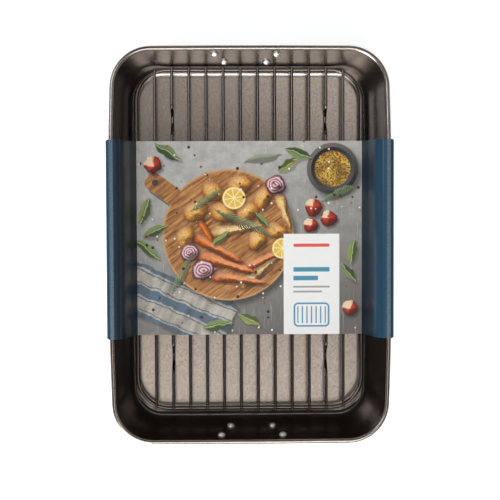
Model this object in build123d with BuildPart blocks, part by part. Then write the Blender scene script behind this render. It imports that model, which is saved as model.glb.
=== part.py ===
from build123d import *
import math
import os

os.makedirs("parts", exist_ok=True)

# A roasting pan with a wire rack, two drop handles and a card sleeve.
# Lengths are millimetres. The origin is the centre of the pan's base, on the surface it stands on.
# +X is the pan's right side, +Y its back end and +Z is up.

# Pan: one pressed sheet whose edge is rolled over into a hollow bead
SHEET = 0.8
PAN_LENGTH = 400.0
PAN_WIDTH = 285.0
PAN_HEIGHT = 60.0
WALL_LEAN_DEG = 15.0
RIM_BEAD = 5.0
RIM_CORNER = 41.5
RIM_CROWN_LONG = 4.1
RIM_CROWN_SHORT = 0.6
BASE_CORNER = 32.0
BASE_CROWN_LONG = 1.5
BASE_CROWN_SHORT = 0.2
BASE_BEND = 8.0
CURL_TURN_DEG = 300.0

# Drop handles: a bent wire bail at each end, in two riveted brackets
BAIL_WIRE = 5.0
BAIL_LEG_SPACING = 86.0
BAIL_LIFT = 3.0
BAIL_PIN_BEND = 6.5
BAIL_GRIP_BEND = 12.0
BAIL_PIN_GAP = 34.0
BAIL_END_CHAMFER = 0.5
PIVOT_BELOW_RIM = 22.0
BACK_HANDLE_SHIFT = -3.8
FRONT_HANDLE_SHIFT = 1.4
BRACKET_SHEET = 1.5
BRACKET_PAD = 6.0
BRACKET_BEND = 1.2
UPPER_RIVET_SPACING = 62.2
LOWER_RIVET_SPACING = 43.0
RIVET_RISE = 10.6
RIVET_HEAD = 8.0
RIVET_DOME = 2.0
RIVET_SHANK = 4.0
RIVET_TAIL = 6.4
RIVET_TAIL_HEIGHT = 1.3

# Rack: a closed frame wire, a cross wire and twelve bars, two of which dip to make the feet
FRAME_WIRE = 4.0
BAR_WIRE = 3.0
RACK_SIDE_GAP = 7.5
RACK_BACK_GAP = 1.1
RACK_FRONT_GAP = 11.0
RACK_CORNER = 34.0
BAR_COUNT = 12
OUTER_BAR_GAP = 19.1
FOOT_BARS = (1, 10)
FOOT_DROP = 14.0
FOOT_INSET = 53.6
FOOT_MOUTH = 27.0
FOOT_SOLE = 9.0
FOOT_BEND = 5.0
SOLE_BEND = 4.0
WELD_SINK = 0.4

# Card sleeve: a printed band that dips into the pan, rides over both long rims and hangs outside
CARD = 0.5
SLEEVE_LENGTH = 199.8
SLEEVE_SHIFT = 6.7
PANEL_WALL_GAP = 10.6
FLAP_INSET = 0.7
FLAP_LIFT = 3.0
FLAP_STANDOFF = 1.1
SHOULDER_BEND = 2.8
PANEL_CREASE = 1.2
RIM_CREASE = 1.0
RIM_LEDGE = 5.4
SIDE_REACH_SHARES = (0.29, 0.50, 0.74)
SIDE_RISE_SHARES = (0.33, 0.83, 0.97)
SIDE_BEND_SHARES = (0.4773, 0.3341, 0.1909)

# Clearances
REST_GAP = 0.3
RUN_CLEARANCE = 0.1
SEAT_CLEARANCE = 0.05
CUT_OVERRUN = 2.0

# The pan's wall leans out and runs straight into the rolled bead, so both share one tangent
lean = math.radians(WALL_LEAN_DEG)
bead_radius = RIM_BEAD / 2
bead_height = PAN_HEIGHT - bead_radius
wall_inside = bead_radius
wall_outside = bead_radius - SHEET
wall_top = PAN_HEIGHT - RIM_BEAD - SHEET
pivot_height = PAN_HEIGHT - PIVOT_BELOW_RIM


def wall_inset(depth, height):
    """How far inside the bead's centre line a wall surface is at a height, seen from above."""
    return depth / math.cos(lean) + math.tan(lean) * (bead_height - height)


def room_inside(overall, height):
    """Half the room between two facing walls at a height, from the pan's length or width."""
    return overall / 2 - bead_radius - wall_inset(wall_inside, height)


def pan_outline(inset, corner, crown_long, crown_short):
    """A rectangle with bowed sides and round corners, set in from the bead's centre line."""
    half_width = PAN_WIDTH / 2 - bead_radius - inset
    half_length = PAN_LENGTH / 2 - bead_radius - inset
    corner_x = half_width - crown_long
    corner_y = half_length - crown_short
    with BuildSketch(mode=Mode.PRIVATE) as outline:
        with BuildLine():
            ThreePointArc((corner_x, -corner_y), (half_width, 0), (corner_x, corner_y))
            ThreePointArc((corner_x, corner_y), (0, half_length), (-corner_x, corner_y))
            ThreePointArc((-corner_x, corner_y), (-half_width, 0), (-corner_x, -corner_y))
            ThreePointArc((-corner_x, -corner_y), (0, -half_length), (corner_x, -corner_y))
        make_face()
        fillet(outline.vertices(), corner)
    return outline.sketch


rim_outline = pan_outline(0, RIM_CORNER - bead_radius, RIM_CROWN_LONG, RIM_CROWN_SHORT)


def top_outline(depth):
    """A wall surface where the straight wall meets the rolled rim: parallel to the bead."""
    with BuildSketch(mode=Mode.PRIVATE) as outline:
        add(rim_outline)
        offset(amount=-wall_inset(depth, wall_top))
    return outline.sketch


def base_outline(depth, height, corner):
    """A wall surface carried down to the floor's height, before the bend between them."""
    return pan_outline(wall_inset(depth, height), corner, BASE_CROWN_LONG, BASE_CROWN_SHORT)


def handle_plane(end, depth=0):
    """Plane at a handle's pivot, depth outside the end wall's inner face: y up the wall, z outward."""
    outward = Vector(0, end * math.cos(lean), -math.sin(lean))
    across = BACK_HANDLE_SHIFT if end == 1 else FRONT_HANDLE_SHIFT
    seat = Vector(across, end * room_inside(PAN_LENGTH, pivot_height), pivot_height) + outward * depth
    return Plane(origin=seat, x_dir=(-end, 0, 0), z_dir=outward)


def rivet_places(hand):
    """The upper and lower rivet of one bracket, across and up the wall from the pivot."""
    upper = (hand * UPPER_RIVET_SPACING / 2, RIVET_RISE)
    lower = (hand * LOWER_RIVET_SPACING / 2, -RIVET_RISE)
    return upper, lower


def save(part, name):
    part.label = name
    export_step(part, f"parts/{name}.step")
    print(name, round(part.volume, 2))


def press_form(depth, floor, corner, bend):
    """The solid inside one face of the pressed sheet, from the floor up to where the wall ends."""
    with BuildPart() as form:
        with BuildSketch(Plane.XY.offset(floor)):
            add(base_outline(depth, floor, corner))
        with BuildSketch(Plane.XY.offset(wall_top)):
            add(top_outline(depth))
        loft()
        fillet(form.edges().group_by(Axis.Z)[0], bend)
    return form.part


# Pan body
pan_outside = press_form(wall_outside, 0, BASE_CORNER + SHEET, BASE_BEND + SHEET)
pan_cavity = press_form(wall_inside, SHEET, BASE_CORNER, BASE_BEND)

with BuildPart() as pan_body:
    add(pan_outside)
    add(pan_cavity, mode=Mode.SUBTRACT)

    # Rolled rim: the wall's last stretch, then the curl round the bead's centre line, open underneath
    rim_path = rim_outline.face().outer_wire().moved(Location((0, 0, bead_height)))
    rim_outward = (rim_path % 0).cross(Vector(0, 0, 1))
    rim_section = Plane(origin=rim_path @ 0, x_dir=rim_outward, z_dir=rim_outward.cross(Vector(0, 0, 1)))
    with BuildSketch(rim_section):
        with BuildLine():
            curl_start = 180 - WALL_LEAN_DEG
            curl_outside = CenterArc((0, 0), wall_inside, curl_start, -CURL_TURN_DEG)
            curl_inside = CenterArc((0, 0), wall_outside, curl_start, -CURL_TURN_DEG)
            Line(curl_outside @ 1, curl_inside @ 1)
            Polyline(
                curl_outside @ 0,
                (-wall_inset(wall_inside, wall_top), wall_top - bead_height),
                (-wall_inset(wall_outside, wall_top), wall_top - bead_height),
                curl_inside @ 0,
            )
        make_face()
    sweep(path=rim_path)

    # Rivet holes through both end walls
    for end in (1, -1):
        with BuildSketch(handle_plane(end)):
            with Locations(*rivet_places(1), *rivet_places(-1)):
                Circle(RIVET_SHANK / 2 + SEAT_CLEARANCE)
        extrude(amount=SHEET + CUT_OVERRUN, both=True, mode=Mode.SUBTRACT)
save(pan_body.part, "pan_body")

# Handle brackets: a strap pressed up into a barrel over the bail's pin, with a rivet above and below
channel_radius = BAIL_WIRE / 2 + RUN_CLEARANCE
barrel_radius = channel_radius + BRACKET_SHEET
bracket_seat = SHEET + SEAT_CLEARANCE


def make_bracket(name, end, hand):
    seat = handle_plane(end, bracket_seat)
    section = Plane(origin=seat.origin, x_dir=seat.y_dir, z_dir=seat.x_dir)
    strap_reach = RIVET_RISE + BRACKET_PAD
    with BuildPart() as bracket:
        with BuildSketch(seat):
            with Locations(*rivet_places(hand)):
                Circle(BRACKET_PAD)
            make_hull()
        extrude(amount=channel_radius + barrel_radius)
        with BuildSketch(section) as strap:
            Rectangle(2 * strap_reach, BRACKET_SHEET, align=(Align.CENTER, Align.MIN))
            with Locations((0, channel_radius)):
                Circle(barrel_radius)
            Rectangle(2 * strap_reach, barrel_radius, align=(Align.CENTER, Align.MAX), mode=Mode.SUBTRACT)
            foot_low, foot_high = BRACKET_SHEET - SEAT_CLEARANCE, BRACKET_SHEET + SEAT_CLEARANCE
            strap_corners = strap.vertices().filter_by_position(Axis.Y, foot_low, foot_high)
            fillet(strap_corners.filter_by_position(Axis.X, -barrel_radius, barrel_radius), BRACKET_BEND)
            with Locations((0, channel_radius)):
                Circle(channel_radius, mode=Mode.SUBTRACT)
            Rectangle(2 * channel_radius, channel_radius, align=(Align.CENTER, Align.MIN), mode=Mode.SUBTRACT)
        extrude(amount=UPPER_RIVET_SPACING, both=True, mode=Mode.INTERSECT)
        with BuildSketch(seat):
            with Locations(*rivet_places(hand)):
                Circle(RIVET_SHANK / 2 + SEAT_CLEARANCE)
        extrude(amount=BRACKET_SHEET + CUT_OVERRUN, both=True, mode=Mode.SUBTRACT)
    save(bracket.part, name)


# The rivets are four to an end: a domed head inside the pan, a shank and a flat tail outside
rivet_grip = bracket_seat + BRACKET_SHEET + SEAT_CLEARANCE


def make_rivets(name, end):
    wall = handle_plane(end)
    with BuildPart() as rivets:
        for hand in (1, -1):
            for across, up in rivet_places(hand):
                centre = wall.from_local_coords((across, up, 0))
                with BuildSketch(Plane(origin=centre, x_dir=wall.x_dir, z_dir=wall.x_dir.cross(wall.z_dir))):
                    with BuildLine():
                        head_top = -SEAT_CLEARANCE - RIVET_DOME
                        cap_radius = ((RIVET_HEAD / 2) ** 2 + RIVET_DOME**2) / (2 * RIVET_DOME)
                        rim = (RIVET_HEAD / 2, -SEAT_CLEARANCE)
                        tail_top = rivet_grip + RIVET_TAIL_HEIGHT
                        RadiusArc((0, head_top), rim, -cap_radius)
                        Polyline(
                            rim,
                            (RIVET_SHANK / 2, -SEAT_CLEARANCE),
                            (RIVET_SHANK / 2, rivet_grip),
                            (RIVET_TAIL / 2, rivet_grip),
                            (RIVET_TAIL / 2, tail_top),
                            (0, tail_top),
                            (0, head_top),
                        )
                    make_face()
                revolve(axis=Axis(centre, wall.z_dir))
    save(rivets.part, name)


# Bails: both pins point inward through the brackets, and the grip hangs below them
pivot_depth = bracket_seat + channel_radius
leg_x = BAIL_LEG_SPACING / 2
pin_x = BAIL_PIN_GAP / 2


def make_bail(name, end):
    pivot = handle_plane(end, pivot_depth).origin
    drop = pivot.Z - BAIL_WIRE / 2 - BAIL_LIFT
    hanging = Plane(origin=pivot, x_dir=(1, 0, 0), z_dir=(0, -1, 0))
    with BuildPart() as bail:
        with BuildLine(hanging) as route:
            FilletPolyline(
                (-pin_x, 0),
                (-leg_x, 0),
                (-leg_x, -drop),
                (leg_x, -drop),
                (leg_x, 0),
                (pin_x, 0),
                radius=[BAIL_PIN_BEND, BAIL_GRIP_BEND, BAIL_GRIP_BEND, BAIL_PIN_BEND],
            )
        with BuildSketch(Plane(origin=route.line @ 0, z_dir=route.line % 0)):
            Circle(BAIL_WIRE / 2)
        sweep(path=route.line)
        chamfer(bail.faces().filter_by(GeomType.PLANE).edges(), BAIL_END_CHAMFER)
    save(bail.part, name)


for end_name, end in (("back", 1), ("front", -1)):
    make_rivets(f"rivets_{end_name}", end)
    make_bail(f"handle_bail_{end_name}", end)
    for side_name, side in (("right", 1), ("left", -1)):
        make_bracket(f"handle_bracket_{end_name}_{side_name}", end, -end * side)

# Rack heights, from the soles of the feet up
sole_height = SHEET + REST_GAP + BAR_WIRE / 2
bar_height = sole_height + FOOT_DROP
frame_height = bar_height - BAR_WIRE / 2 - FRAME_WIRE / 2 + WELD_SINK

# The rack fills the pan at the frame wire's height, less its gaps to the walls
rack_width = 2 * (room_inside(PAN_WIDTH, frame_height) - RACK_SIDE_GAP)
rack_length = 2 * room_inside(PAN_LENGTH, frame_height) - RACK_BACK_GAP - RACK_FRONT_GAP
rack_shift = (RACK_FRONT_GAP - RACK_BACK_GAP) / 2
frame_x = (rack_width - FRAME_WIRE) / 2
frame_y = (rack_length - FRAME_WIRE) / 2
frame_bend = RACK_CORNER - FRAME_WIRE / 2
bar_pitch = 2 * (frame_x - OUTER_BAR_GAP) / (BAR_COUNT - 1)
foot_centre = rack_length / 2 - FOOT_INSET
rack_plane = Plane((0, rack_shift, 0))

# Frame wire: a closed loop with round corners
with BuildPart() as rack_frame:
    with BuildLine(rack_plane.offset(frame_height)) as loop:
        FilletPolyline(
            (frame_x, -frame_y),
            (frame_x, frame_y),
            (-frame_x, frame_y),
            (-frame_x, -frame_y),
            radius=frame_bend,
            close=True,
        )
    with BuildSketch(Plane(origin=loop.line @ 0, z_dir=loop.line % 0)):
        Circle(FRAME_WIRE / 2)
    sweep(path=loop.line)
save(rack_frame.part, "rack_frame")

# Cross wire: joins the frame's long sides under the middle of the bars
with BuildPart() as rack_cross_wire:
    with BuildSketch(Plane(origin=(0, rack_shift, frame_height), x_dir=(0, 1, 0), z_dir=(1, 0, 0))):
        Circle(FRAME_WIRE / 2)
    extrude(amount=frame_x, both=True)
    add(rack_frame.part, mode=Mode.SUBTRACT)
save(rack_cross_wire.part, "rack_cross_wire")


def bar_reach(x):
    """Half length of a bar: it ends over the outer edge of the frame wire, straight or in the bend."""
    past_bend = abs(x) - (rack_width / 2 - RACK_CORNER)
    if past_bend <= 0:
        return rack_length / 2
    return rack_length / 2 - RACK_CORNER + math.sqrt(RACK_CORNER**2 - past_bend**2)


def foot_points(centre):
    """The dip of a foot, from front to back, about its centre along the bar."""
    return [
        (centre - FOOT_MOUTH / 2, bar_height),
        (centre - FOOT_SOLE / 2, sole_height),
        (centre + FOOT_SOLE / 2, sole_height),
        (centre + FOOT_MOUTH / 2, bar_height),
    ]


def make_bar(name, x, with_feet):
    reach = bar_reach(x)
    points = [(-reach, bar_height)]
    bends = []
    if with_feet:
        for centre in (-foot_centre, foot_centre):
            points += foot_points(centre)
            bends += [FOOT_BEND, SOLE_BEND, SOLE_BEND, FOOT_BEND]
    points.append((reach, bar_height))
    bar_plane = Plane(origin=(x, rack_shift, 0), x_dir=(0, 1, 0), z_dir=(1, 0, 0))
    with BuildPart() as bar:
        with BuildLine(bar_plane) as route:
            if with_feet:
                FilletPolyline(*points, radius=bends)
            else:
                Line(*points)
        with BuildSketch(Plane(origin=route.line @ 0, z_dir=route.line % 0)):
            Circle(BAR_WIRE / 2)
        sweep(path=route.line)
        add(rack_frame.part, mode=Mode.SUBTRACT)
        add(rack_cross_wire.part, mode=Mode.SUBTRACT)
    save(bar.part, name)


for index in range(BAR_COUNT):
    bar_x = (index - (BAR_COUNT - 1) / 2) * bar_pitch
    make_bar(f"rack_bar_{index + 1:02d}", bar_x, index in FOOT_BARS)

# Card sleeve: its underside is drawn from the left flap over the pan to the right flap
panel_height = bar_height + BAR_WIRE / 2 + REST_GAP
panel_x = room_inside(PAN_WIDTH, panel_height) - PANEL_WALL_GAP
ledge_height = PAN_HEIGHT + REST_GAP
shoulder_x = PAN_WIDTH / 2 + FLAP_STANDOFF
ledge_x = PAN_WIDTH / 2 - RIM_LEDGE
side_run = ledge_x - panel_x
side_rise = ledge_height - panel_height
right_side = [(panel_x, panel_height)]
for reach_share, rise_share in zip(SIDE_REACH_SHARES, SIDE_RISE_SHARES):
    right_side.append((panel_x + reach_share * side_run, panel_height + rise_share * side_rise))
right_side += [(ledge_x, ledge_height), (shoulder_x, ledge_height), (shoulder_x, FLAP_LIFT)]
left_side = [(-x, z) for x, z in reversed(right_side)]
side_bends = [share * side_rise for share in SIDE_BEND_SHARES]
right_bends = [PANEL_CREASE, *side_bends, RIM_CREASE, SHOULDER_BEND]

with BuildPart() as card_sleeve:
    with BuildSketch(Plane.XZ.offset(-SLEEVE_SHIFT)):
        with BuildLine():
            underside = FilletPolyline(*left_side, *right_side, radius=[*reversed(right_bends), *right_bends])
            offset(underside, amount=CARD, side=Side.LEFT)
        make_face()
    extrude(amount=SLEEVE_LENGTH / 2, both=True)

    # The flaps are cut a little short of the crease they hang from
    flap_outer = shoulder_x + CARD + CUT_OVERRUN
    flap_inner = PAN_WIDTH / 2
    with BuildSketch(Plane.XY.offset(ledge_height + CARD + CUT_OVERRUN)):
        for x_side in (1, -1):
            for y_side in (1, -1):
                place_x = x_side * (flap_inner + flap_outer) / 2
                place_y = SLEEVE_SHIFT + y_side * SLEEVE_LENGTH / 2
                with Locations((place_x, place_y)):
                    Rectangle(flap_outer - flap_inner, 2 * FLAP_INSET)
    extrude(amount=-(PAN_HEIGHT + 2 * CUT_OVERRUN), mode=Mode.SUBTRACT)
save(card_sleeve.part, "card_sleeve")
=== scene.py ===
import math

import bpy
from mathutils import Matrix, Vector


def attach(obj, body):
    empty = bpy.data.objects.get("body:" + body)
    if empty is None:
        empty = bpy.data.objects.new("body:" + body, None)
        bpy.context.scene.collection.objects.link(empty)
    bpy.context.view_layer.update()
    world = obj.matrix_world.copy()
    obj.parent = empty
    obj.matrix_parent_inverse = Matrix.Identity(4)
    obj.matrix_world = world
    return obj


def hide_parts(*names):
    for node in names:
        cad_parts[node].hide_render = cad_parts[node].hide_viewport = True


# A roasting pan with a wire rack, drop handles and a printed card sleeve.
# Lengths are metres. The origin is the centre of the pan's base and +Y is the pan's back end.

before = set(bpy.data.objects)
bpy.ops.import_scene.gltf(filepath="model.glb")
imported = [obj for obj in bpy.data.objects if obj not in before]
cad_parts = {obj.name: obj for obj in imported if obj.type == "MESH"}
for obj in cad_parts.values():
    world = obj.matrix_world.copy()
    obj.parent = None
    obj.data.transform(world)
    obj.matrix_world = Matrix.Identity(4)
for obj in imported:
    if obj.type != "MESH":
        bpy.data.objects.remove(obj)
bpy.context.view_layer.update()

# Camera: nearly overhead, a little towards the back left
CAMERA_PLACE = (-0.0285, 0.0500, 1.3032)
CAMERA_AIM = (-0.0005, -0.0039, 0.060)
CAMERA_ROLL_DEG = -0.21
CAMERA_LENS = 89.6
SENSOR = 36.0
CAMERA_CLIP = 0.05

# Where most of a noise texture's values lie
NOISE_SPREAD = (0.3, 0.7)

# Coats: grains to the metre, the tones and roughness that they spread, and a bump's strength and depth
FLAKES = 850.0
FLAKE_TONE = (0.82, 1.19)
CLOUDS = 18.0
CLOUD_TONE = (0.94, 1.06)
PAN_COAT = (0.297, 0.262, 0.236)
PAN_EDGE = (0.37, 0.40, 0.43, 1)
PAN_GLOSS = (0.21, 0.25)
WIRE_CLOUDS = 60.0
WIRE_GRAIN = 900.0
WIRE_DARK = (0.105, 0.090, 0.080, 1)
WIRE_PALE = (0.145, 0.124, 0.110, 1)
WIRE_EDGE = (0.35, 0.35, 0.35, 1)
WIRE_GLOSS = (0.17, 0.24)
WIRE_BUMP = (0.05, 0.00005)

# Bright metals: slot, colour, roughness from low to high, and marks to the metre each way
RIVET_METAL = ("rivet_metal", (0.86, 0.85, 0.82, 1), (0.36, 0.46), (900, 900, 900))
BRACKET_STEEL = ("bracket_steel", (0.52, 0.51, 0.50, 1), (0.28, 0.40), (120, 2400, 2400))
BAIL_STEEL = ("bail_steel", (0.62, 0.62, 0.63, 1), (0.08, 0.16), (300, 1500, 1500))
MARK_SHADE = 0.86
MARK_BUMP = (0.12, 0.0001)

# Rivets, square to the leaning wall: the CAD's sizes, with a fuller dome
WALL_LEAN_DEG = 15.0
RIVET_CAD_DOME = 0.0020
RIVET_DOME = 0.0031
RIVET_HEAD_RADIUS = 0.0040
RIVET_SHANK_RADIUS = 0.0020
RIVET_TAIL_RADIUS = 0.0032
RIVET_TAIL_HEIGHT = 0.0013
RIVET_TAIL_EDGE = 0.0002
RIVET_DOME_STEPS = 8
RIVET_SIDES = 32
RIVET_SHARP_DEG = 35.0
TIP_REACH = 0.00001

# Stage: a round floor that curves up into a backdrop
FLOOR_RADIUS = 3.2
COVE_RADIUS = 0.8
BACKDROP_TOP = 1.3
COVE_STEPS = 12
ROUND_STEPS = 72
FLOOR_COLOUR = (0.86, 0.86, 0.86, 1)
FLOOR_ROUGHNESS = 0.9
FLOOR_LIFT = 0.70
WORLD_FILL = 0.03

# Soft boxes: name, azimuth and elevation as seen from the pan, distance, width, height, radiance, and
# warmth, which is its red over its blue
SOFT_BOXES = (
    ("low_front_left", 208.0, 11.0, 2.6, 1.60, 0.70, 20.5, 1.05),
    ("left", 210.0, 33.0, 2.2, 1.10, 1.00, 4.2, 1.05),
    ("key", 180.0, 48.0, 2.0, 1.30, 0.50, 4.2, 0.96),
    ("key_high", 180.0, 60.0, 2.0, 1.30, 0.50, 6.1, 0.96),
    ("back_left_high", 295.0, 58.0, 2.0, 0.60, 0.60, 5.9, 0.80),
    ("right_high", 85.0, 56.0, 2.0, 0.70, 0.50, 0.95, 1.00),
    ("back_right_top", 45.0, 74.0, 2.0, 0.70, 0.55, 0.85, 1.12),
    ("left_top", 270.0, 74.0, 2.0, 0.60, 0.60, 0.3, 1.12),
    ("zenith_back", 0.0, 77.0, 2.0, 0.90, 0.40, 0.95, 1.12),
    ("zenith_front", 180.0, 78.0, 2.0, 0.90, 0.40, 1.7, 1.15),
)


class Brush:
    """Adds shader nodes to one material and wires them together."""

    def __init__(self, name):
        self.material = bpy.data.materials.new(name)
        self.material.use_nodes = True
        self.tree = self.material.node_tree
        self.shader = self.tree.nodes["Principled BSDF"]

    def node(self, kind, **settings):
        made = self.tree.nodes.new(kind)
        for key, value in settings.items():
            setattr(made, key, value)
        return made

    def wire(self, socket, value):
        if isinstance(value, bpy.types.NodeSocket):
            self.tree.links.new(value, socket)
        else:
            socket.default_value = value

    def look(self, **values):
        """Sets or links the shader's own sockets, named with underscores for spaces."""
        for key, value in values.items():
            self.wire(self.shader.inputs[key.replace("_", " ")], value)

    def math(self, operation, *values, clamp=False):
        made = self.node("ShaderNodeMath", operation=operation, use_clamp=clamp)
        for socket, value in zip(made.inputs, values):
            self.wire(socket, value)
        return made.outputs[0]

    def vector(self, operation, first, second):
        made = self.node("ShaderNodeVectorMath", operation=operation)
        self.wire(made.inputs[0], first)
        self.wire(made.inputs["Scale"] if operation == "SCALE" else made.inputs[1], second)
        return made.outputs[0]

    def span(self, value, low, high, to_low=0.0, to_high=1.0, smooth=False):
        """Maps value from low..high to to_low..to_high and holds it there."""
        made = self.node("ShaderNodeMapRange", clamp=True)
        if smooth:
            made.interpolation_type = "SMOOTHSTEP"
        for socket, given in zip(made.inputs, (value, low, high, to_low, to_high)):
            self.wire(socket, given)
        return made.outputs[0]

    def blend(self, factor, below, above, kind="MIX"):
        made = self.node("ShaderNodeMix", data_type="RGBA", blend_type=kind, clamp_factor=True)
        for socket, value in zip((made.inputs[0], made.inputs[6], made.inputs[7]), (factor, below, above)):
            self.wire(socket, value)
        return made.outputs[2]

    def noise(self, point, scale, detail=2.0, rough=0.5, warp=0.0):
        made = self.node("ShaderNodeTexNoise")
        names = ("Vector", "Scale", "Detail", "Roughness", "Distortion")
        for key, value in zip(names, (point, scale, detail, rough, warp)):
            self.wire(made.inputs[key], value)
        return made.outputs[0]

    def cells(self, point, scale):
        made = self.node("ShaderNodeTexVoronoi")
        self.wire(made.inputs["Vector"], point)
        self.wire(made.inputs["Scale"], scale)
        return made.outputs

    def point(self):
        """The place on the piece, in metres of the row frame at rest."""
        return self.node("ShaderNodeTexCoord").outputs["Object"]

    def bump(self, height, strength, distance):
        made = self.node("ShaderNodeBump")
        for key, value in (("Strength", strength), ("Distance", distance), ("Height", height)):
            self.wire(made.inputs[key], value)
        self.wire(self.shader.inputs["Normal"], made.outputs[0])


def dress(material, *names):
    """Gives CAD nodes their finish."""
    for name in names:
        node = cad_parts[name]
        node.data.materials.clear()
        node.data.materials.append(material)


def coated_sheet():
    """Taupe non-stick coat with fine metal flakes, as on the pan."""
    brush = Brush("nonstick_coating")
    point = brush.point()
    flakes = brush.cells(point, FLAKES)
    cloud = brush.noise(point, CLOUDS, detail=3.0)
    grain = brush.span(flakes["Color"], 0.0, 1.0, *FLAKE_TONE)
    tone = brush.span(cloud, *NOISE_SPREAD, *CLOUD_TONE)
    strength = brush.math("MULTIPLY", grain, tone)
    colour = brush.vector("SCALE", PAN_COAT, strength)
    brush.look(Base_Color=colour, Metallic=1.0, Specular_Tint=PAN_EDGE)
    brush.look(Roughness=brush.span(cloud, *NOISE_SPREAD, *PAN_GLOSS))
    return brush.material


def coated_wire():
    """The rack's wires: a darker and smoother coat of the same kind."""
    brush = Brush("rack_coating")
    point = brush.point()
    cloud = brush.noise(point, WIRE_CLOUDS, detail=3.0)
    grain = brush.noise(point, WIRE_GRAIN, detail=2.0)
    brush.look(Base_Color=brush.blend(cloud, WIRE_DARK, WIRE_PALE), Metallic=1.0)
    brush.look(Roughness=brush.span(cloud, *NOISE_SPREAD, *WIRE_GLOSS), Specular_Tint=WIRE_EDGE)
    brush.bump(grain, *WIRE_BUMP)
    return brush.material


def bright_metal(name, colour, gloss, density):
    """Bare or plated metal with fine marks."""
    brush = Brush(name)
    marks = brush.noise(brush.vector("MULTIPLY", brush.point(), density), 1.0, detail=4.0)
    dull = tuple(part * MARK_SHADE for part in colour[:3]) + (1,)
    brush.look(Base_Color=brush.blend(marks, dull, colour), Metallic=1.0)
    brush.look(Roughness=brush.span(marks, *NOISE_SPREAD, *gloss))
    brush.bump(marks, *MARK_BUMP)
    return brush.material


def ink(red, green, blue):
    """A colour from its three 8-bit values, as a screen shows them."""
    parts = [part / 255 for part in (red, green, blue)]
    linear = [part / 12.92 if part <= 0.04045 else ((part + 0.055) / 1.055) ** 2.4 for part in parts]
    return (*linear, 1)


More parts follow.
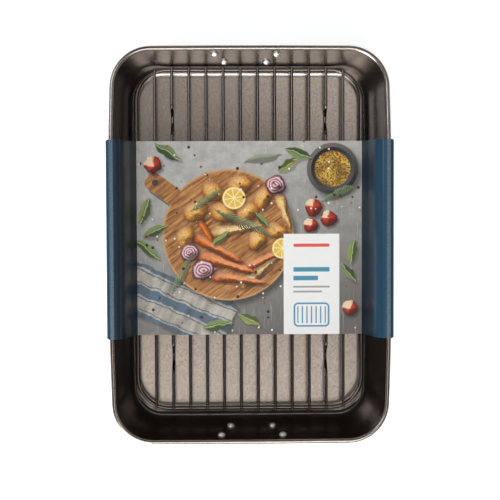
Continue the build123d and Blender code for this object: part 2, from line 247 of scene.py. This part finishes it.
class Picture(Brush):
    """Paints a picture on a flat panel in layers, in millimetres of the row frame.

    All textures are made first and the shapes are sums of plain numbers, which keeps the shader small.
    Plain is the place on the panel, and organic is the same place pushed about a little for uneven edges.
    """

    def __init__(self, name):
        super().__init__(name)
        self.plain = self.axes(self.vector("SCALE", self.point(), MM_PER_METRE))
        self.broad = self.texture(0.09, detail=4.0, rough=0.6)
        self.fine = self.texture(0.55, detail=4.0, rough=0.62)
        self.scratches = self.texture(1.0, stretch=(0.5, 0.035), detail=3.0)
        self.folds = self.texture(1.0, stretch=(0.085, 0.020), turn=-24.0)
        self.grain = self.texture(1.0, stretch=(0.030, 0.42), turn=36.0, detail=4.0, warp=0.6)
        self.dapple = self.texture(0.8, detail=3.0)
        drift = [self.texture(0.07, detail=3.0, rough=0.6, offset=offset) for offset in (0.0, 500.0)]
        self.organic = []
        for axis, pull in zip(self.plain, drift):
            pushed = self.math("MULTIPLY_ADD", pull, PICTURE_DRIFT, -PICTURE_DRIFT / 2)
            self.organic.append(self.math("ADD", axis, pushed))
        self.crumbs = [self.scatter(density) for density in (0.16, 0.22, 0.20)]
        self.colour = None

    def axes(self, vector):
        made = self.node("ShaderNodeSeparateXYZ")
        self.wire(made.inputs[0], vector)
        return made.outputs[0], made.outputs[1]

    def spot(self, stretch, turn, offset=0.0):
        """The place on the panel as a vector, turned and stretched for a texture."""
        made = self.node("ShaderNodeCombineXYZ")
        cos, sin = math.cos(math.radians(turn)), math.sin(math.radians(turn))
        for socket, scale, (part_x, part_y) in zip(made.inputs, stretch, ((cos, sin), (-sin, cos))):
            self.wire(socket, self.along(self.plain, part_x * scale, part_y * scale, offset))
        return made.outputs[0]

    def along(self, axes, part_x, part_y, start):
        """The two axes added in the given parts, from a start."""
        rest = self.math("MULTIPLY_ADD", axes[1], part_y, start)
        return self.math("MULTIPLY_ADD", axes[0], part_x, rest)

    def texture(self, scale, stretch=(1.0, 1.0), turn=0.0, offset=0.0, **settings):
        return self.noise(self.spot(stretch, turn, offset), scale, **settings)

    def scatter(self, density):
        """Distance to the nearest crumb and a random number for it."""
        cells = self.cells(self.spot((1.0, 1.0), 0.0), density)
        split = self.node("ShaderNodeSeparateColor")
        self.wire(split.inputs[0], cells["Color"])
        return cells["Distance"], split.outputs[0]

    def local(self, axes, row):
        """The place as seen from one shape: its middle at 0 and its ends at -1 and 1."""
        x, y, turn, long, wide = row
        cos, sin = math.cos(math.radians(turn)), math.sin(math.radians(turn))
        first = self.along(axes, cos / long, sin / long, -(x * cos + y * sin) / long)
        second = self.along(axes, -sin / wide, cos / wide, (x * sin - y * cos) / wide)
        return first, second

    def lit(self, local, row, reach=1.0):
        """The same place moved a step towards the light, as seen from the shape."""
        turn, long, wide = row[2:]
        cos, sin = math.cos(math.radians(turn)), math.sin(math.radians(turn))
        step_x, step_y = LIGHT_STEP[0] * reach, LIGHT_STEP[1] * reach
        first = self.math("ADD", local[0], (step_x * cos + step_y * sin) / long)
        second = self.math("ADD", local[1], (step_y * cos - step_x * sin) / wide)
        return first, second

    def oval(self, local, row):
        squared = self.math("MULTIPLY", local[0], local[0])
        return self.math("SQRT", self.math("MULTIPLY_ADD", local[1], local[1], squared))

    def root(self, local, row):
        """Blunt at one end and thin at the other."""
        across = self.math("DIVIDE", local[1], self.math("MULTIPLY_ADD", local[0], -0.30, 0.68))
        squared = self.math("MULTIPLY", local[0], local[0])
        fourth = self.math("MULTIPLY", squared, squared)
        return self.math("SQRT", self.math("MULTIPLY_ADD", across, across, fourth))

    def leaf(self, local, row):
        """Pointed at both ends."""
        return self.math("MULTIPLY_ADD", local[0], local[0], self.math("ABSOLUTE", local[1]))

    def slab(self, local, row, corner=0.2):
        """A rectangle with round corners. A corner is a share of its half width."""
        ratio = row[3] / row[4]
        first = self.math("MULTIPLY_ADD", self.math("ABSOLUTE", local[0]), ratio, corner - ratio)
        second = self.math("ADD", self.math("ABSOLUTE", local[1]), corner - 1.0)
        past = [self.math("MAXIMUM", side, 0.0) for side in (first, second)]
        squared = self.math("MULTIPLY", past[0], past[0])
        rounded = self.math("SQRT", self.math("MULTIPLY_ADD", past[1], past[1], squared))
        return self.math("ADD", rounded, 1.0 - corner)

    def outline(self, form, axes, rows, reach=1.0, **settings):
        """One outline round several shapes of a kind, and the same outline where its shadow falls."""
        nearest, shaded = None, None
        for row in rows:
            local = self.local(axes, row)
            here = form(local, row, **settings)
            there = form(self.lit(local, row, reach), row, **settings)
            nearest = here if nearest is None else self.math("MINIMUM", nearest, here)
            shaded = there if shaded is None else self.math("MINIMUM", shaded, there)
        return nearest, shaded

    def paint(self, reach, colour, edge=0.06):
        self.colour = self.blend(self.span(reach, 1.0 - edge, 1.0, 1.0, 0.0), self.colour, colour)

    def shadow(self, reach, depth, spread=0.25):
        dark = self.span(reach, 1.0 - spread, 1.0 + spread, depth, 0.0, smooth=True)
        self.colour = self.blend(dark, self.colour, ink(30, 26, 24))

    def domed(self, form, rows, colour, depth=0.62, gloss=(0.06, 0.22), edge=0.07):
        """Rounded things lit from one side, with their shadows."""
        reach, shaded = self.outline(form, self.organic, rows)
        self.shadow(shaded, depth)
        slope = self.math("SUBTRACT", shaded, reach)
        far_side = self.span(slope, 0.02, -0.20, 0.0, 0.85)
        body = self.blend(far_side, colour(reach), ink(110, 86, 76), "MULTIPLY")
        body = self.blend(self.span(reach, 0.70, 1.0, 0.0, 0.55), body, ink(120, 90, 72), "MULTIPLY")
        body = self.blend(self.span(slope, gloss[0], 0.26, 0.0, gloss[1]), body, ink(255, 232, 190))
        self.paint(reach, body, edge)


# The card, across the pan in millimetres from its middle: the flat panel's edge, then where the painted
# shade on the steep flanks, the outside flaps and the painted highlight strips on the ledges' crowns start
# and end
MM_PER_METRE = 1000.0
CARD_PANEL = 116.2
PANEL_FADE = 0.2
FLANK_LEFT = (-137.5, -135.5)
FLANK_RIGHT = (123.5, 125.5)
FLAP = (142.0, 142.4)
HIGHLIGHT_START = (136.2, 137.4)
HIGHLIGHT_END = (139.8, 141.2)
FLANK_SHADE_SHARE = 0.75
HIGHLIGHT_TONE = (0.35, 0.75)
CARD_GLOSS = (0.32, 0.40)
CARD_BUMP = (0.05, 0.0003)

# How far a face of the card turns to a cut end, or to the inside, before it shows raw board
CUT_FACING = (0.7, 0.8)
INNER_FACING = (-0.04, -0.02)
FIBRE_SPREAD = (0.35, 0.65)

# The card's picture: a made-up kitchen scene, in millimetres of the row frame. Each shape is a row of
# place x and y, turn in degrees, half length and half width, and a leaf has its tone as well
PICTURE_DRIFT = 8.0
LIGHT_STEP = (-1.7, 2.1)
CLOTH = (-78, -62, -24, 62, 26)
BOARD = (-22, 10, 0, 68, 68)
BOARD_HANDLE = (-89, 58, -36, 20, 9.5)
HANDLE_HOLE = (-97, 64, 0, 3.6, 3.6)
BOWL = (86, 78, 0, 27, 27)
LABEL = (64, -43, 90, 54, 29)
POTATOES = (
    (-56, 34, 20, 14, 10.5), (-38, 55, -35, 13.5, 10), (-10, 62, 10, 14, 10), (14, 48, 62, 13, 9.5),
    (-27, 33, -12, 14.5, 11), (-2, 34, 30, 13, 10), (-66, 8, 75, 13, 9.5), (28, 14, -20, 12, 9),
    (8, 5, 60, 12, 9.5),
)
CARROTS = (
    (-35, -4, -28, 32, 7.2), (-24, -20, -17, 34, 7.6), (-12, -36, -8, 31, 6.8), (18, -14, 24, 25, 6.6),
    (-47, 18, -58, 22, 6.0),
)
PARSNIPS = ((10, -28, 38, 27, 7.4), (-14, 16, 8, 27, 6.8), (36, 34, -70, 20, 6.4))
ONIONS = ((-48, -26, 15, 12.5, 11.5), (27, 62, -30, 11.0, 10.0), (-62, -8, 0, 10.0, 9.6))
LEMONS = ((-16, 48, 10, 12.5, 12.0), (34, -4, 40, 11.5, 11.0))
TOMATOES = (
    (66, 38, 0, 9.5, 9.3), (82, 27, 0, 8.6, 8.6), (63, 20, 0, 8.0, 7.8), (-100, 82, 0, 9.0, 8.8),
    (104, -66, 0, 8.4, 8.2),
)
LEAVES = (
    (-84, 96, -35, 17, 5.6, 0.10), (-108, 34, 70, 16, 5.8, 0.75), (-98, 14, 25, 15, 5.4, 0.30),
    (-106, -4, -40, 17, 6.0, 0.55), (50, 94, 160, 15, 5.0, 0.20), (40, 82, -145, 13, 4.6, 0.80),
    (-34, -84, 10, 16, 5.4, 0.40), (0, -78, 150, 14, 4.8, 0.90), (106, -8, 80, 14, 5.0, 0.60),
    (103, -30, 130, 13, 4.6, 0.15), (-30, 6, 40, 11, 4.0, 0.95), (12, 26, -50, 10, 4.0, 0.45),
)
SPRIGS = (
    (-6, 22, -24, 34, 6.5), (-44, 46, 35, 22, 5.0), (92, 52, 24, 22, 5.5), (-70, -32, 62, 24, 5.5),
    (14, 88, 8, 22, 5.0),
)
ACCENT = (64, -1, 0, 19, 2.0)
RULES = ((64, -26, 0, 19, 2.6), (58, -35, 0, 13, 2.6), (64, -44, 0, 19, 1.1), (60, -49, 0, 15, 1.1))
PICTOGRAM = (64, -73, 0, 19, 13)


def stone_top(art):
    """Pale grey worktop, lighter at the back, with soft clouds, specks and a few scratches."""
    fall = art.span(art.along(art.plain, -0.35, 1.0, 0.0), -105.0, 95.0)
    base = art.blend(fall, ink(100, 97, 92), ink(188, 185, 179))
    clouds = art.blend(art.span(art.broad, 0.35, 0.68, 0.0, 0.34), base, ink(96, 92, 86))
    specks = art.blend(art.span(art.fine, 0.58, 0.70, 0.0, 0.30), clouds, ink(80, 76, 70))
    art.colour = art.blend(art.span(art.scratches, 0.60, 0.66, 0.0, 0.20), specks, ink(214, 211, 204))


def striped_cloth(art):
    """Folded linen with blue stripes."""
    reach, shaded = art.outline(art.slab, art.organic, (CLOTH,), corner=0.12)
    art.shadow(shaded, 0.55, 0.10)
    band = art.math("PINGPONG", art.local(art.organic, CLOTH)[1], 0.5)
    weave = art.blend(art.span(art.fine, 0.2, 0.8), ink(212, 206, 194), ink(166, 159, 146))
    stripes = art.blend(art.span(band, 0.16, 0.19, 0.85, 0.0), weave, ink(48, 92, 122))
    thin = art.span(art.math("ABSOLUTE", art.math("SUBTRACT", band, 0.27)), 0.018, 0.03, 0.8, 0.0)
    lines = art.blend(thin, stripes, ink(48, 92, 122))
    creased = art.blend(art.span(art.folds, 0.38, 0.66, 0.0, 0.62), lines, ink(66, 62, 58))
    art.paint(reach, creased, 0.03)


def wooden_board(art):
    """Round oiled board with a short handle."""
    disc, disc_shade = art.outline(art.oval, art.plain, (BOARD,), reach=2.4)
    grip, grip_shade = art.outline(art.slab, art.plain, (BOARD_HANDLE,), reach=2.4, corner=0.7)
    art.shadow(art.math("MINIMUM", disc_shade, grip_shade), 0.72, 0.07)
    shape = art.math("MINIMUM", disc, grip)
    wood = art.blend(art.span(art.grain, 0.34, 0.66), ink(128, 74, 34), ink(202, 146, 86))
    streaks = art.blend(art.span(art.broad, 0.50, 0.70, 0.0, 0.45), wood, ink(96, 52, 24))
    edged = art.blend(art.span(shape, 0.955, 0.985, 0.0, 0.55), streaks, ink(226, 180, 120))
    art.paint(shape, edged, 0.012)
    art.paint(art.oval(art.local(art.plain, HANDLE_HOLE), HANDLE_HOLE), ink(70, 62, 55), 0.15)


def dark_bowl(art):
    """Black bowl of golden oil with herbs."""
    reach, shaded = art.outline(art.oval, art.plain, (BOWL,), reach=2.2)
    art.shadow(shaded, 0.75, 0.16)
    slope = art.math("SUBTRACT", shaded, reach)
    art.paint(reach, art.blend(art.span(slope, -0.20, 0.22), ink(28, 27, 28), ink(104, 100, 97)), 0.03)
    wall = art.blend(art.span(slope, -0.20, 0.20), ink(78, 74, 72), ink(20, 19, 20))
    art.paint(art.math("MULTIPLY", reach, 1.0 / 0.84), wall, 0.03)
    oil = art.blend(art.span(art.broad, 0.40, 0.62), ink(150, 98, 28), ink(226, 178, 74))
    herbs = art.blend(art.span(art.fine, 0.50, 0.56), oil, ink(58, 74, 34))
    art.paint(art.math("MULTIPLY", reach, 1.0 / 0.70), herbs, 0.05)


def vegetables(art):
    """Roasted roots, onions and tomatoes, browned in places."""
    char = art.span(art.broad, 0.52, 0.66, 0.0, 0.55)
    crisp = art.span(art.fine, 0.46, 0.60, 0.0, 0.60)

    def roasted(pale, deep, burnt):
        def colour(reach):
            body = art.blend(art.span(reach, 0.35, 0.95), pale, deep)
            return art.blend(char, art.blend(crisp, body, deep), burnt)
        return colour

    def onion(reach):
        ring = art.math("SINE", art.math("MULTIPLY", reach, 24.0))
        flesh = art.blend(art.span(ring, -0.4, 0.6), ink(226, 196, 202), ink(142, 66, 96))
        return art.blend(art.span(reach, 0.86, 0.92), flesh, ink(92, 30, 52))

    def tomato(reach):
        return art.blend(art.span(reach, 0.2, 1.0), ink(206, 60, 36), ink(120, 20, 18))

    art.domed(art.root, PARSNIPS, roasted(ink(240, 204, 134), ink(198, 136, 62), ink(92, 48, 18)))
    art.domed(art.root, CARROTS, roasted(ink(232, 128, 34), ink(186, 76, 16), ink(78, 30, 10)))
    art.domed(art.oval, POTATOES, roasted(ink(240, 186, 84), ink(182, 102, 30), ink(84, 40, 14)))
    art.domed(art.oval, ONIONS, onion, gloss=(0.10, 0.10))
    art.domed(art.oval, TOMATOES, tomato, depth=0.7, gloss=(0.20, 0.75))


def lemon_slices(art):
    for row in LEMONS:
        local = art.local(art.plain, row)
        reach = art.oval(local, row)
        art.shadow(art.oval(art.lit(local, row), row), 0.5, 0.14)
        turn = art.math("MULTIPLY", art.math("ARCTAN2", local[1], local[0]), 8.0 / math.tau)
        gap = art.math("MULTIPLY", art.math("PINGPONG", turn, 0.5), reach)
        flesh = art.blend(art.span(art.fine, 0.3, 0.7), ink(240, 206, 92), ink(218, 164, 50))
        segments = art.blend(art.span(gap, 0.03, 0.07, 1.0, 0.0), flesh, ink(246, 232, 176))
        pith = art.blend(art.span(reach, 0.78, 0.83), segments, ink(246, 234, 186))
        art.paint(reach, art.blend(art.span(reach, 0.90, 0.94), pith, ink(222, 168, 36)), 0.05)


def greenery(art):
    """Bay leaves with a midrib, and sprigs of needles."""
    for x, y, turn, long, wide, tone in LEAVES:
        row = (x, y, turn, long, wide)
        local = art.local(art.organic, row)
        art.shadow(art.leaf(art.lit(local, row), row), 0.42, 0.30)
        dark, pale = ink(52 + 26 * tone, 70 + 22 * tone, 40), ink(112 + 34 * tone, 134 + 22 * tone, 84)
        halves = art.blend(art.span(local[1], -0.25, 0.45), dark, pale)
        midrib = art.span(art.math("ABSOLUTE", local[1]), 0.04, 0.11, 0.75, 0.0)
        ribbed = art.blend(midrib, halves, ink(188, 198, 150))
        art.paint(art.leaf(local, row), ribbed, 0.14)
    for row in SPRIGS:
        local = art.local(art.organic, row)
        side = art.math("ABSOLUTE", local[1])
        needle = art.math("PINGPONG", art.math("MULTIPLY_ADD", side, -0.30, local[0]), 0.055)
        taper = art.leaf(local, row)
        needles = art.math("MAXIMUM", taper, art.span(needle, 0.024, 0.036))
        stem = art.math("MAXIMUM", taper, art.span(side, 0.07, 0.13, 0.0, 2.0))
        tone = art.blend(art.span(local[1], -0.5, 0.6), ink(40, 54, 34), ink(128, 146, 104))
        art.paint(art.math("MINIMUM", needles, stem), tone, 0.20)


def strewn(art):
    """Peppercorns, flakes of salt and crumbs over the worktop and the board."""
    kinds = (
        (0.06, ink(46, 38, 32), 0.30),
        (0.05, ink(236, 232, 222), 0.26),
        (0.04, ink(150, 72, 34), 0.30),
    )
    for (distance, chance), (share, colour, size) in zip(art.crumbs, kinds):
        picked = art.span(chance, share, share + 0.01, 0.0, 2.0)
        art.paint(art.math("MAXIMUM", art.math("MULTIPLY", distance, 1.0 / size), picked), colour, 0.25)


def label_block(art):
    """Plain white block with a pictogram of the rack and coloured rules, no lettering."""
    teal, white = ink(70, 144, 172), ink(240, 239, 236)

    def patch(row, colour, corner, edge, share=1.0):
        reach = art.slab(art.local(art.plain, row), row, corner)
        art.paint(art.math("MULTIPLY", reach, 1.0 / share), colour, edge)
        return reach

    patch(LABEL, art.blend(art.span(art.broad, 0.3, 0.7, 0.0, 0.25), white, ink(228, 226, 222)), 0.02, 0.01)
    patch(ACCENT, ink(226, 88, 76), 0.9, 0.3)
    for row in RULES[:2]:
        patch(row, teal, 0.3, 0.2)
    for row in RULES[2:]:
        patch(row, ink(120, 118, 116), 0.3, 0.4)
    patch(PICTOGRAM, teal, 0.4, 0.06)
    rim = patch(PICTOGRAM, white, 0.4, 0.06, share=0.86)
    spacing = art.math("PINGPONG", art.local(art.plain, PICTOGRAM)[0], 0.125)
    wires = art.span(spacing, 0.028, 0.045, 0.0, 2.0)
    art.paint(art.math("MAXIMUM", wires, art.math("MULTIPLY", rim, 1.0 / 0.70)), teal, 0.06)


def printed_card():
    """Varnished card: the picture, teal sides beyond it with painted shade on the steep flanks and a
    painted highlight strip along each ledge's crown, and raw board inside.
    """
    art = Picture("printed_card")
    stone_top(art)
    striped_cloth(art)
    wooden_board(art)
    dark_bowl(art)
    vegetables(art)
    lemon_slices(art)
    greenery(art)
    strewn(art)
    label_block(art)
    teal = art.blend(art.broad, ink(14, 50, 71), ink(18, 56, 78))
    side = art.math("ABSOLUTE", art.plain[0])
    beyond = art.span(side, CARD_PANEL - PANEL_FADE, CARD_PANEL)
    # Painted shade: the steep flanks between the panel and the ledges are darkened towards dark navy,
    # standing in for the light they get less of
    flank = [art.span(art.plain[0], *FLANK_LEFT), art.span(art.plain[0], *FLANK_RIGHT, 1.0, 0.0)]
    flank_shade = art.math("MULTIPLY", art.math("MINIMUM", *flank), FLANK_SHADE_SHARE)
    # Painted highlight: a pale strip along the crown of each ledge, where the card lies over the rim,
    # broken up by the fine texture
    highlight_strip = art.math("MINIMUM", art.span(side, *HIGHLIGHT_START), art.span(side, *HIGHLIGHT_END, 1.0, 0.0))
    painted_highlight = art.math("MULTIPLY", highlight_strip, art.span(art.fine, *FIBRE_SPREAD, *HIGHLIGHT_TONE))
    # Painted shade and painted highlight: the flanks blend towards dark navy and the ledges' crowns towards
    # pale steel blue
    sides = art.blend(painted_highlight, art.blend(flank_shade, teal, ink(14, 24, 34)), ink(104, 124, 136))
    printed = art.blend(beyond, art.colour, sides)
    facing = art.node("ShaderNodeSeparateXYZ")
    art.wire(facing.inputs[0], art.node("ShaderNodeTexCoord").outputs["Normal"])
    cut_end = art.span(art.math("ABSOLUTE", facing.outputs[1]), *CUT_FACING)
    outward = art.math("MULTIPLY", art.math("SIGN", art.plain[0]), facing.outputs[0])
    on_flap = art.span(side, *FLAP, 0.0, 2.0)
    showing = art.math("MULTIPLY_ADD", outward, on_flap, facing.outputs[2])
    inner = art.span(showing, *INNER_FACING, 1.0, 0.0)
    board = art.blend(art.span(art.fine, *FIBRE_SPREAD), ink(192, 185, 172), ink(214, 208, 197))
    art.look(Base_Color=art.blend(art.math("MAXIMUM", cut_end, inner), printed, board))
    art.look(Roughness=art.span(art.fine, *NOISE_SPREAD, *CARD_GLOSS), Specular_IOR_Level=0.35)
    art.look(Coat_Weight=0.2, Coat_Roughness=0.20)
    art.bump(art.dapple, *CARD_BUMP)
    return art.material


dress(coated_sheet(), "pan_body")
rack_names = [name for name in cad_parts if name.startswith("rack_")]
dress(coated_wire(), *rack_names)
rivet_metal = bright_metal(*RIVET_METAL)
dress(rivet_metal, "rivets_back", "rivets_front")
bracket_names = [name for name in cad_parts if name.startswith("handle_bracket")]
dress(bright_metal(*BRACKET_STEEL), *bracket_names)
bail_names = [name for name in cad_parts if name.startswith("handle_bail")]
dress(bright_metal(*BAIL_STEEL), *bail_names)
dress(printed_card(), "card_sleeve")


def lathe(profile, origin, axis, across, start):
    """Points and faces of a closed turned shape. The profile is radius and depth along the axis."""
    second = axis.cross(across)
    points, rings, faces = [], [], []
    for radius, depth in profile:
        count = RIVET_SIDES if radius else 1
        rings.append([start + len(points) + step for step in range(count)])
        for step in range(count):
            turn = math.tau * step / RIVET_SIDES
            spoke = across * math.cos(turn) + second * math.sin(turn)
            points.append(origin + axis * depth + spoke * radius)
    for near, far in zip(rings, rings[1:]):
        for step in range(RIVET_SIDES):
            after = (step + 1) % RIVET_SIDES
            sides = ((near, step), (far, step), (far, after), (near, after))
            faces.append(tuple(dict.fromkeys(ring[place % len(ring)] for ring, place in sides)))
    return points, faces


def make_rivets(name, end, material):
    """The four rivets of one end on the CAD's seats, with the full round heads that the pan has inside."""
    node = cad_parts[name]
    lean = math.radians(WALL_LEAN_DEG)
    outward = Vector((0, end * math.cos(lean), -math.sin(lean)))
    depths = [vertex.co.dot(outward) for vertex in node.data.vertices]
    tip, tail = min(depths), max(depths)
    tips = {}
    for vertex, depth in zip(node.data.vertices, depths):
        if depth < tip + TIP_REACH:
            tips[round(vertex.co.x, 4)] = vertex.co
    length = tail - tip - RIVET_CAD_DOME
    quarter = [math.pi / 2 * step / RIVET_DOME_STEPS for step in range(RIVET_DOME_STEPS + 1)]
    profile = [(RIVET_HEAD_RADIUS * math.sin(turn), -RIVET_DOME * math.cos(turn)) for turn in quarter]
    grip = length - RIVET_TAIL_HEIGHT
    profile += [
        (RIVET_SHANK_RADIUS, 0),
        (RIVET_SHANK_RADIUS, grip),
        (RIVET_TAIL_RADIUS, grip),
        (RIVET_TAIL_RADIUS, length - RIVET_TAIL_EDGE),
        (RIVET_TAIL_RADIUS - RIVET_TAIL_EDGE, length),
        (0, length),
    ]
    points, faces = [], []
    for place in tips.values():
        seat = place + outward * RIVET_CAD_DOME
        more_points, more_faces = lathe(profile, seat, outward, Vector((1, 0, 0)), len(points))
        points += more_points
        faces += more_faces
    mesh = bpy.data.meshes.new(name + "_round")
    mesh.from_pydata(points, [], faces)
    mesh.shade_smooth()
    mesh.set_sharp_from_angle(angle=math.radians(RIVET_SHARP_DEG))
    mesh.materials.append(material)
    piece = bpy.data.objects.new(name + "_round", mesh)
    bpy.context.scene.collection.objects.link(piece)
    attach(piece, "pan")
    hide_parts(name)


def make_floor():
    """The floor and backdrop. Cameras, metal and gloss see them paler than the lamps make them."""
    quarter = [math.pi / 2 * step / COVE_STEPS for step in range(COVE_STEPS + 1)]
    profile = []
    for turn in quarter:
        profile.append((FLOOR_RADIUS + COVE_RADIUS * math.sin(turn), COVE_RADIUS * (1 - math.cos(turn))))
    profile.append((FLOOR_RADIUS + COVE_RADIUS, BACKDROP_TOP))
    around = [math.tau * step / ROUND_STEPS for step in range(ROUND_STEPS)]
    points = []
    for radius, height in profile:
        points += [(radius * math.cos(turn), radius * math.sin(turn), height) for turn in around]
    faces = [tuple(range(ROUND_STEPS))]
    for start in range(0, len(points) - ROUND_STEPS, ROUND_STEPS):
        above = start + ROUND_STEPS
        for step in range(ROUND_STEPS):
            after = (step + 1) % ROUND_STEPS
            faces.append((start + step, start + after, above + after, above + step))
    mesh = bpy.data.meshes.new("floor")
    mesh.from_pydata(points, [], faces)
    mesh.shade_smooth()
    mesh.polygons[0].use_smooth = False
    floor = bpy.data.objects.new("floor", mesh)
    bpy.context.scene.collection.objects.link(floor)
    brush = Brush("floor")
    paths = brush.node("ShaderNodeLightPath").outputs
    seen = brush.math("MAXIMUM", paths["Is Camera Ray"], paths["Is Glossy Ray"])
    seen = brush.math("MAXIMUM", seen, paths["Is Transmission Ray"])
    brush.look(Base_Color=FLOOR_COLOUR, Roughness=FLOOR_ROUGHNESS, Emission_Color=(1, 1, 1, 1))
    brush.look(Emission_Strength=brush.math("MULTIPLY", seen, FLOOR_LIFT))
    mesh.materials.append(brush.material)


def make_world():
    world = bpy.data.worlds.new("studio")
    bpy.context.scene.world = world
    world.use_nodes = True
    back = world.node_tree.nodes["Background"]
    back.inputs["Color"].default_value = (1, 1, 1, 1)
    back.inputs["Strength"].default_value = WORLD_FILL


def make_soft_box(name, azimuth, elevation, distance, width, height, radiance, warmth):
    lamp = bpy.data.lights.new(name, "AREA")
    lamp.shape = "RECTANGLE"
    lamp.size = width
    lamp.size_y = height
    lamp.energy = radiance * math.pi * width * height
    lamp.color = (math.sqrt(warmth), 1.0, 1.0 / math.sqrt(warmth))
    turn, lift = math.radians(azimuth), math.radians(elevation)
    away = Vector((math.sin(turn) * math.cos(lift), math.cos(turn) * math.cos(lift), math.sin(lift)))
    box = bpy.data.objects.new(name, lamp)
    box.location = away * distance
    box.rotation_mode = "QUATERNION"
    box.rotation_quaternion = away.to_track_quat("Z", "Y")
    bpy.context.scene.collection.objects.link(box)


def make_camera():
    data = bpy.data.cameras.new("camera")
    data.lens = CAMERA_LENS
    data.sensor_width = SENSOR
    data.clip_start = CAMERA_CLIP
    camera = bpy.data.objects.new("camera", data)
    bpy.context.scene.collection.objects.link(camera)
    place, aim = Vector(CAMERA_PLACE), Vector(CAMERA_AIM)
    forward = (aim - place).normalized()
    right = forward.cross(Vector((0, 1, 0))).normalized()
    above = right.cross(forward)
    turn = Matrix((right, above, -forward)).transposed().to_4x4()
    roll = Matrix.Rotation(math.radians(CAMERA_ROLL_DEG), 4, "Z")
    camera.matrix_world = Matrix.Translation(place) @ turn @ roll
    bpy.context.scene.camera = camera


make_rivets("rivets_back", 1, rivet_metal)
make_rivets("rivets_front", -1, rivet_metal)
make_floor()
make_world()
for soft_box in SOFT_BOXES:
    make_soft_box(*soft_box)
make_camera()
bpy.context.scene.view_settings.view_transform = "Standard"
